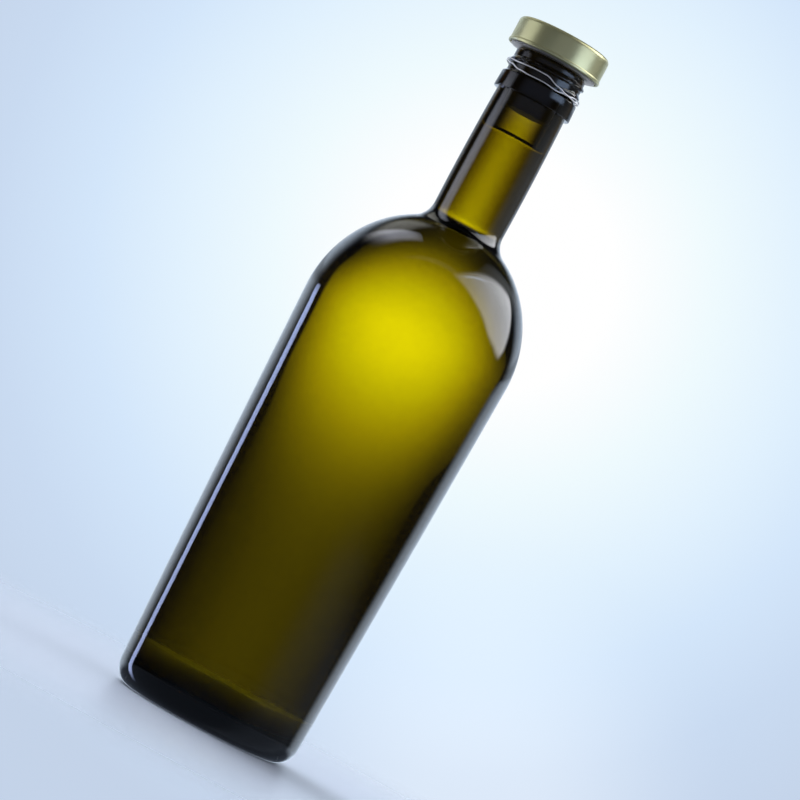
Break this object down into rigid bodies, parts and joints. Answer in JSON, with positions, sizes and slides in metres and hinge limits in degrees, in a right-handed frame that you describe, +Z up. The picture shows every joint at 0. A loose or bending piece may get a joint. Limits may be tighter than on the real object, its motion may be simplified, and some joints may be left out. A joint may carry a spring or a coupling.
{
  "type": "wine bottle",
  "caption": "Round-shouldered wine bottle in olive green glass, filled with white wine and shut with a metal-topped stopper over a screw-thread mouth.",
  "frame": {"origin": "centre of the bottle's foot, in the plane of the ring it stands on", "axes": "+Z up along the bottle's axis towards the stopper; the camera of the picture looks along +Y"},
  "size_m": [0.0822, 0.0822, 0.2819],
  "materials": {
    "bottle_glass": "clear olive green glass, glossy",
    "wine": "clear white wine",
    "stopper_metal": "satin champagne anodised metal",
    "stopper_plastic": "white moulded plastic, satin",
    "stopper_shank": "dark brown, matt",
    "neck_wire": "drawn steel wire, dull"
  },
  "bodies": {
    "root": {"bottle_glass": "bottle_glass", "wine": "wine", "stopper_head": "stopper_metal", "stopper_disc": "stopper_plastic", "stopper_shank": "stopper_shank", "neck_wire": "neck_wire"}
  },
  "joints": []
}
